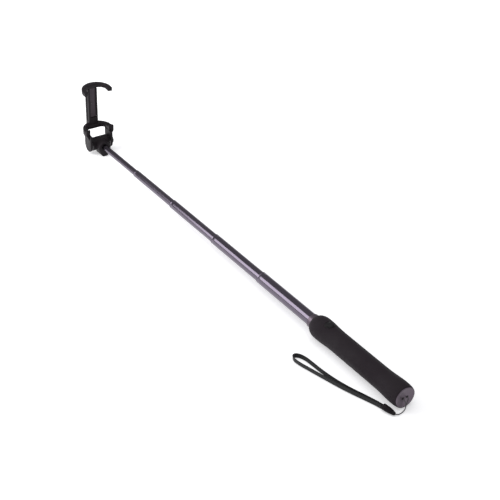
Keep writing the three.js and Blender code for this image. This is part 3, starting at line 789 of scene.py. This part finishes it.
def makeEndCap():
    c = capSizes
    dishEdge = c["radius"] - c["rim"]
    shoulder = capFaceY + c["thickness"]
    dishFloor = capFaceY + c["dish"]
    outline = [(0, dishFloor), (dishEdge - c["dishSlope"], dishFloor), (dishEdge, capFaceY)]
    outline += arc((c["radius"] - c["edge"], capFaceY + c["edge"]), c["edge"], -90, 0, 5)
    outline += [(c["radius"], shoulder), (c["plug"], shoulder), (c["plug"], c["plugEnd"]),
                (0, c["plugEnd"])]
    hollows = []
    for x in (-c["holeX"], c["holeX"]):
        hollows.append(shifted(rod(c["hole"], capFaceY - 1, capFaceY + 3), (x, 0, 0)))
    reach, room = c["holeX"] + c["hole"], c["barRoom"]
    hollows.append(block((-reach, capFaceY + 2, -room), (reach, capFaceY + 5, room)))  # behind the bar
    seat(cut(turned(outline), *hollows), "endCap", "handle", "cap", ["end_cap"], rounding=0.12)


makeGrip()
makeShutterButton()
makeButtonBezel()
makeCollar()
makeEndCap()
print("handle ready")

# ---- telescopic sections ----

tubeSizes = {
    "count": 5, "step": 0.825, "lip": 1.4, "wall": 0.4, "fit": 0.12, "roll": 0.42, "crimpBack": 3.0,
    "crimpDepth": 0.1,
}


# Each section's mouth is rolled in, with a crimp line just behind it.
def makeTube(index):
    t = tubeSizes
    low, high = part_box(f"tube_{index}")
    rear, front = low[1] / mm - hingePoint.y / mm, high[1] / mm - hingePoint.y / mm
    outer = (high[0] - low[0]) / 2 / mm
    bore = outer - t["wall"]
    last = index == t["count"]
    lip = bore if last else outer - t["step"] + t["fit"]
    crimp, groove = front - t["crimpBack"], outer - t["crimpDepth"]
    plainEnd, lipEnd = crimp - 0.6, front - t["lip"]
    outline = [(outer, rear), (outer, rear + 0.1)]
    outline += [(outer, rear + (plainEnd - rear) * i / 24) for i in range(1, 25)]
    if not last:
        outline += [(groove, crimp - 0.25), (groove, crimp + 0.05), (outer, crimp + 0.35)]
    outline += [(outer, front - t["roll"])]
    outline += arc((outer - t["roll"], front - t["roll"]), t["roll"], 15, 90, 5)
    outline += [(lip, front), (lip, lipEnd), (bore, lipEnd - 0.35), (bore, rear)]
    seat(turned(outline, 80), f"tubeSection{index}", f"section_{index}", "tube",
         [f"tube_{index}"])


for number in range(1, tubeSizes["count"] + 1):
    makeTube(number)
print("tubes ready")

# ---- head hub and hinge ----

hubSizes = {
    "barrel": 9.4, "half": 13.0, "edge": 0.9, "grooveAt": 2.4, "grooveDepth": 0.35,
    "rear": -19.6, "neckFront": -3.0, "top": (9.3, -1.3), "foot": (6.6, -8.2), "neckEdge": 1.3,
    "pinHole": 2.3, "tubeHole": 4.37, "tubeHoleEnd": -8.3, "mouth": 5.3, "rest": -13.7,
}


# The neck's cross-section: a big circle above a small one, joined by their tangents.
def neckOutline():
    topRadius, topZ = hubSizes["top"]
    footRadius, footZ = hubSizes["foot"]
    slope = math.degrees(math.asin((topRadius - footRadius) / (topZ - footZ)))
    upper = arc((0, topZ), topRadius, -slope, 180 + slope, 40)
    lower = arc((0, footZ), footRadius, 180 + slope, 360 - slope, 24)
    return upper + lower


def makeHub():
    h = hubSizes
    side, barrelRadius, edge = h["half"], h["barrel"], h["edge"]
    grooveY, grooveFloor = h["grooveAt"] - side, barrelRadius - h["grooveDepth"]
    outline = [(0, -side), (barrelRadius - edge, -side)]
    outline += arc((barrelRadius - edge, edge - side), edge, -90, 0, 5)
    outline += [(barrelRadius, grooveY), (grooveFloor, grooveY + 0.2), (grooveFloor, grooveY + 0.6),
                (barrelRadius, grooveY + 0.8)]
    outline += [(radius, -y) for radius, y in reversed(outline)]
    barrel = turned(outline, 72, "X")
    neck = plate(neckOutline(), -h["neckFront"], -h["rear"], standing)
    rearEdges = [e for e in neck.edges if all(abs(v.co.y - h["rear"]) < 0.01 for v in e.verts)]
    bevelled(neck, rearEdges, h["neckEdge"], 5)
    socket = rod(h["tubeHole"], h["rear"] - 1, h["tubeHoleEnd"], "Y", 48)
    mouth = turned([(0, h["rear"] - 0.5), (h["mouth"], h["rear"] - 0.5), (h["mouth"] - 1, h["rear"] + 0.6),
                    (0, h["rear"] + 0.6)], 48)
    pinHole = rod(h["pinHole"], -side - 1, side + 1, "X")
    belowFoot = block((-10, h["rear"] - 1, -20), (10, 2, h["rest"]))
    bm = cut(joined(barrel, neck), socket, mouth, pinHole, belowFoot)
    seat(bm, "headHub", "section_5", "plastic", ["head_hub"], rounding=0.3)


nutSizes = {
    "radius": 6.0, "bore": 2.3, "boreDepth": 2.1, "inner": 17.8, "tip": 22.5, "edge": 0.4, "skirt": 1.6,
    "flutes": 12, "fluteDepth": 0.03, "fluteBand": 0.6,
}


# A domed nut with shallow flutes round its rim.
def makeNut():
    n = nutSizes
    radius, inner = n["radius"], n["inner"]
    domeFrom = inner + n["skirt"]
    outline = [(n["bore"], inner + n["boreDepth"]), (n["bore"], inner), (radius - n["edge"], inner),
               (radius, inner + n["edge"]), (radius, domeFrom)]
    outline += arc((0, domeFrom), radius, 10, 80, 7, height=n["tip"] - domeFrom)
    outline += [(0, n["tip"]), (0, inner + n["boreDepth"])]
    bm = turned(outline, 64)
    for v in bm.verts:
        if math.hypot(v.co.x, v.co.z) > radius - n["fluteBand"]:
            flute = 1 - n["fluteDepth"] * (1 + math.cos(n["flutes"] * math.atan2(v.co.z, v.co.x)))
            v.co.x *= flute
            v.co.z *= flute
    bmesh.ops.transform(bm, matrix=alongAxis["X"], verts=bm.verts)
    seat(bm, "hingeNut", "clamp", "plastic", ["hinge_nut"])


washerSizes = {"outer": 9.2, "bore": 2.35, "inner": 13.3, "face": 14.2, "edge": 0.1}
pinSizes = {"radius": 2.0, "start": -16.3, "end": 19.6, "edge": 0.2}


def makeWasher(name, direction, stands):
    w = washerSizes
    outer, bore, near, far, edge = w["outer"], w["bore"], w["inner"], w["face"], w["edge"]
    outline = [(outer, near + edge / 2), (outer, far - edge), (outer - edge, far), (bore + edge, far),
               (bore, far - edge), (bore, near + edge), (bore + edge, near), (outer - edge, near)]
    seat(turned(outline, 72, direction), name, "clamp", "darkSteel", [stands])


def makePin():
    radius, start, end, edge = (pinSizes[key] for key in ("radius", "start", "end", "edge"))
    outline = [(0, start), (radius - edge, start), (radius, start + edge), (radius, end - edge),
               (radius - edge, end), (0, end)]
    seat(turned(outline, 40, "X"), "hingePin", "clamp", "steel", ["hinge_pin"])


makeHub()
makeNut()
makeWasher("washerLeft", "-X", "washer_left")
makeWasher("washerRight", "X", "washer_right")
makePin()
print("hinge ready")

# ---- phone clamp ----

lowerJaw = {
    "half": 21.7, "bulge": 23.2, "tip": -6.0, "innerTip": -4.5, "low": 17.0, "high": 23.7, "tipTop": 25.7,
    "inner": 15.2, "innerBack": 12.6, "corner": 7.0,
}
upperJaw = {
    "half": 21.3, "bulge": 22.3, "tip": -5.6, "innerTip": -4.1, "low": 80.5, "high": 86.6,
    "inner": 15.4, "innerBack": 14.0, "corner": 10.5,
}
spineSizes = {
    "half": 6.95, "front": 14.2, "back": 25.4, "low": 17.5, "high": 79.8, "channel": 5.2, "slot": 4.5,
    "channelFront": 16.2, "channelMid": 19.6, "channelRear": 23.4, "floor": 25.0, "roof": 74.0,
    "slotLow": 34.0,
}
sideGroove = {"x": 6.9, "half": 0.65, "front": 17.4, "back": 22.4, "low": 28.0, "high": 77.0}
armSizes = {
    "inner": 14.5, "outer": 17.5, "radius": 9.75, "pin": 2.3, "pinEnd": 16.6, "top": 17.6, "flareFrom": 9.5,
    "flareTo": 17.2,
}
padSizes = {
    "inner": 17.1, "outer": 19.5, "front": -2.0, "rear": 7.0, "thickness": 1.2, "ribFoot": 0.85, "ribs": 6,
    "firstRib": 1.4, "pitch": 1.7, "grooveWidth": 0.7,
}
coverSizes = {"half": 4.9, "front": 23.7, "low": 18.9, "high": 78.9, "gap": 0.3}
thumbGrooves = {"count": 6, "half": 3.2, "depth": 0.35, "low": 30.0, "pitch": 2.2, "height": 1.1}
screwHeights = [21.4, 76.7]
screwSizes = {
    "cover": {"head": 1.5, "depth": 0.7, "length": 3.4}, "stem": {"head": 1.1, "depth": 0.5, "length": 3.0},
    "shank": 0.6, "crossHalf": 0.16, "crossDepth": 0.45,
}
pilotRadius = 0.9


def jawOutline(jaw):
    inner, corner = jaw["inner"], jaw["corner"]
    outside = arc((0, 0), jaw["half"], 0, 180, 45, height=jaw["bulge"])
    leftCorner = arc((corner - inner, jaw["innerBack"] - corner), corner, 180, 90, 14)
    rightCorner = arc((inner - corner, jaw["innerBack"] - corner), corner, 90, 0, 14)
    start = [(inner - 0.4, jaw["innerTip"]), (jaw["half"] - 0.2, jaw["tip"])]
    end = [(-x, y) for x, y in reversed(start)]
    return start + outside + end + leftCorner + rightCorner


def jawPlate(jaw, low, high, soft=0.0):
    return plate(jawOutline(jaw), low, high, soft=soft)


def slimmer(jaw, amount):
    return {**jaw, "half": jaw["half"] - amount}


# A round-ended arm at the barrel's side, flaring out under the jaw's horn.
def forkArm(side):
    a, horn = armSizes, lowerJaw
    tongue = arc((0, 0), a["radius"], 180, 360, 40) + [(a["radius"], a["top"]), (-a["radius"], a["top"])]
    near, far = sorted((side * a["inner"], side * a["outer"]))
    arm = plate(tongue, near, far, sideways, soft=0.45)
    rise, reach = a["flareTo"] - a["flareFrom"], horn["half"] - 0.5 - a["outer"]
    inside = a["inner"] + 0.5
    flare = [(inside, a["flareFrom"])]
    flare += [(a["outer"] + reach * (i / 6) ** 1.4, a["flareFrom"] + rise * i / 6) for i in range(7)]
    flare += [(a["outer"] + reach, a["top"]), (inside, a["top"])]
    under = plate([(side * x, z) for x, z in flare], 0.25 - a["radius"], -horn["tip"] - 0.25, standing)
    within = jawPlate(slimmer(horn, 0.1), a["flareFrom"] - 1, a["top"] + 1)
    return joined(arm, combined(under, [within], "INTERSECT"))


# The raised lips at the ends of the lower jaw's horns.
def hornTips():
    j = lowerJaw
    lips = jawPlate(slimmer(j, 0.12), j["high"] - 2.1, j["tipTop"], soft=0.5)
    front = block((-j["half"] - 1, j["tip"] - 1, j["high"] - 1.1),
                  (j["half"] + 1, padSizes["front"] - 0.3, j["tipTop"] + 1))
    return combined(lips, [front], "INTERSECT")


def makeClampFrame():
    s, c, g = spineSizes, coverSizes, sideGroove
    column = block((-s["half"], s["front"], s["low"]), (s["half"], s["back"], s["high"]), soft=0.6)
    jaw = jawPlate(lowerJaw, lowerJaw["low"], lowerJaw["high"], soft=0.7)
    solid = joined(jaw, forkArm(-1), forkArm(1), column, hornTips())
    beyond, wide = s["high"] + 1, s["channel"]
    hollows = [
        block((-s["slot"], s["front"] - 1, s["slotLow"]), (s["slot"], s["channelFront"] + 1, beyond)),
        block((-wide, s["channelFront"], s["floor"]), (wide, s["channelMid"], beyond)),
        block((-wide, s["channelMid"] - 0.5, s["floor"]), (wide, s["channelRear"] + 1, s["roof"])),
        block((-wide, s["channelRear"], c["low"] - c["gap"]), (wide, s["back"] + 1, c["high"] + c["gap"])),
        rod(armSizes["pin"], -armSizes["pinEnd"], 0, "X"),
        rod(armSizes["pin"], 0, armSizes["outer"] + 1, "X"),
    ]
    for z in screwHeights:
        hollows.append(shifted(rod(pilotRadius, 20.6, s["channelRear"] + 1, "Y", 16), (0, 0, z)))
    for x in (-g["x"], g["x"]):
        hollows.append(block((x - g["half"], g["front"], g["low"]), (x + g["half"], g["back"], g["high"])))
    seat(cut(solid, *hollows), "clampFrame", "clamp", "plastic", ["clamp_frame"],
         rounding=0.45)


def makeBackCover():
    c, g, back = coverSizes, thumbGrooves, spineSizes["back"]
    sheet = block((-c["half"], c["front"], c["low"]), (c["half"], back, c["high"]))
    hollows = []
    for i in range(g["count"]):
        low = g["low"] + g["pitch"] * i
        high = low + g["height"]
        hollows.append(block((-g["half"], back - g["depth"], low), (g["half"], back + 1, high)))
    for z in screwHeights:
        hollows.append(shifted(rod(pilotRadius, 23, back, "Y", 24), (0, 0, z)))
        hollows.append(shifted(rod(1.8, back - 1.0, back + 1), (0, 0, z)))
    seat(cut(sheet, *hollows), "backCover", "clamp", "plastic", ["back_cover"],
         rounding=0.2)


def crossHeadScrew(name, body, kind, matrix, stands):
    sizes, shank, half = screwSizes[kind], screwSizes["shank"], screwSizes["crossHalf"]
    head, depth, length = sizes["head"], sizes["depth"], sizes["length"]
    outline = [(0, 0), (head - 0.25, 0), (head, -0.2), (head, -depth), (shank, -depth),
               (shank, 0.3 - length), (shank - 0.3, -length), (0, -length)]
    reach, floor = head * 0.6, -screwSizes["crossDepth"]
    upright = block((-half, floor, -reach), (half, 1, reach))
    bm = cut(turned(outline, 40), upright, block((-reach, floor, -half), (reach, 1, half)))
    bmesh.ops.transform(bm, matrix=matrix, verts=bm.verts)
    bmesh.ops.recalc_face_normals(bm, faces=bm.faces)
    seat(bm, name, body, "darkSteel", [stands], rounding=0.05)


stemSizes = {
    "half": 4.9, "rib": 4.2, "face": 15.6, "ribBack": 16.5, "back": 19.3, "foot": 23.1, "low": 27.0,
    "footTop": 30.0, "ribLow": 34.5,
}
stemScrewPlace = {"x": -2.0, "z": 57.0}
faceRecess = {"half": 3.2, "depth": 0.3, "low": 38.5, "high": 75.5}
springSizes = {
    "x": 2.6, "y": 21.5, "wire": 0.24, "coil": 1.45, "turns": 12, "perTurn": 14, "low": 30.54,
    "high": 73.46, "rodHole": 1.05,
}


def makeUpperJaw():
    s, j, r = stemSizes, upperJaw, faceRecess
    under = j["low"] + 1
    web = block((-s["half"], s["ribBack"], s["low"]), (s["half"], s["back"], under))
    rib = block((-s["rib"], s["face"], s["ribLow"]), (s["rib"], s["ribBack"] + 0.5, under))
    foot = block((-s["half"], s["back"] - 0.5, s["low"]), (s["half"], s["foot"], s["footTop"]))
    solid = joined(jawPlate(j, j["low"], j["high"], soft=0.9), web, rib, foot)
    hollows = []
    for x in (-springSizes["x"], springSizes["x"]):
        rodHole = rod(springSizes["rodHole"], s["low"] - 1, s["footTop"] + 1, "Z", 24)
        hollows.append(shifted(rodHole, (x, springSizes["y"], 0)))
    screwHole = rod(pilotRadius, s["face"] - 1, s["back"] - 0.6, "Y", 24)
    hollows.append(shifted(screwHole, (stemScrewPlace["x"], 0, stemScrewPlace["z"])))
    recessFloor = s["face"] + r["depth"]
    hollows.append(block((-r["half"], s["face"] - 1, r["low"]), (r["half"], recessFloor, r["high"])))
    jaw = seat(cut(solid, *hollows), "upperJaw", "upper_jaw", "plastic", ["upper_jaw"],
               rounding=0.45)
    jaw.data.materials.append(materials["face"])
    toShape = placing("upper_jaw", hingePoint).inverted()
    for polygon in jaw.data.polygons:  # the stem's front face is the lighter one
        middle = toShape @ polygon.center
        if middle.z < j["low"] - 0.5 and s["face"] - 0.2 < middle.y < s["face"] + 0.5:
            polygon.material_index = 1


# Jaw pads: thin rubber with cross ribs on the gripping face.
def makePad(name, side, face, direction, body, stands):
    p = padSizes
    near, far = sorted((side * p["inner"], side * p["outer"]))
    low, high = sorted((face, face + direction * p["thickness"]))
    cutLow, cutHigh = sorted((face + direction * p["ribFoot"], face + direction * 2))
    grooves = []
    for i in range(p["ribs"]):
        y = p["front"] + p["firstRib"] + p["pitch"] * i
        grooves.append(block((near - 1, y, cutLow), (far + 1, y + p["grooveWidth"], cutHigh)))
    bm = cut(block((near, p["front"], low), (far, p["rear"], high)), *grooves)
    seat(bm, name, body, "rubber", [stands], rounding=0.15)


# The return springs are wound at one length, each with a mesh of its own; on the real clamp they shorten as
# the upper jaw rises.
def makeReturnSpring(name, side, stands):
    s = springSizes
    steps, tall = s["turns"] * s["perTurn"], s["high"] - s["low"]
    line = []
    for i in range(steps + 1):
        angle = 2 * math.pi * i / s["perTurn"]
        x, y = side * s["x"] + s["coil"] * math.cos(angle), s["y"] + s["coil"] * math.sin(angle)
        line.append(Vector((x, y, s["low"] + tall * i / steps)))
    spring = seat(swept(line, roundSection(s["wire"], 8)), name, "clamp", "steel", [stands])
    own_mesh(spring)


makeClampFrame()
makeBackCover()
makeUpperJaw()
for number, height in enumerate(screwHeights, 1):
    place = Matrix.Translation((0, spineSizes["back"], height))
    crossHeadScrew(f"coverScrew{number}", "clamp", "cover", place, f"cover_screw_{number}")
place = Matrix.Translation((stemScrewPlace["x"], stemSizes["face"] - 0.8, stemScrewPlace["z"]))
place = place @ Matrix.Rotation(math.pi, 4, "Z")
crossHeadScrew("stemScrew", "upper_jaw", "stem", place, "stem_screw")
sides = {"Left": -1, "Right": 1}
padFaces = (("lower", lowerJaw["high"], 1, "clamp"), ("upper", upperJaw["low"], -1, "upper_jaw"))
for jawName, face, direction, body in padFaces:
    for word, side in sides.items():
        makePad(f"{jawName}Pad{word}", side, face, direction, body, f"{jawName}_pad_{word.lower()}")
for word, side in sides.items():
    makeReturnSpring(f"returnSpring{word}", side, f"return_spring_{word.lower()}")
print("clamp ready")

# ---- carried-over inner pieces ----

innerFinishes = {
    "handle_tube": "tube", "button_board": "board", "button_switch": "steel", "ribbon_lead": "film",
    "radio_board": "board", "coin_cell": "steel", "contact_spring": "steel",
    "guide_rod_left": "steel", "guide_rod_right": "steel",
    **{f"friction_sleeve_{i}": "brass" for i in range(1, 6)},
}
for nodeName, finish in innerFinishes.items():
    nodeMesh = frame["nodes"][nodeName].data
    nodeMesh.materials.clear()
    nodeMesh.materials.append(materials[finish])
print("inner pieces ready")
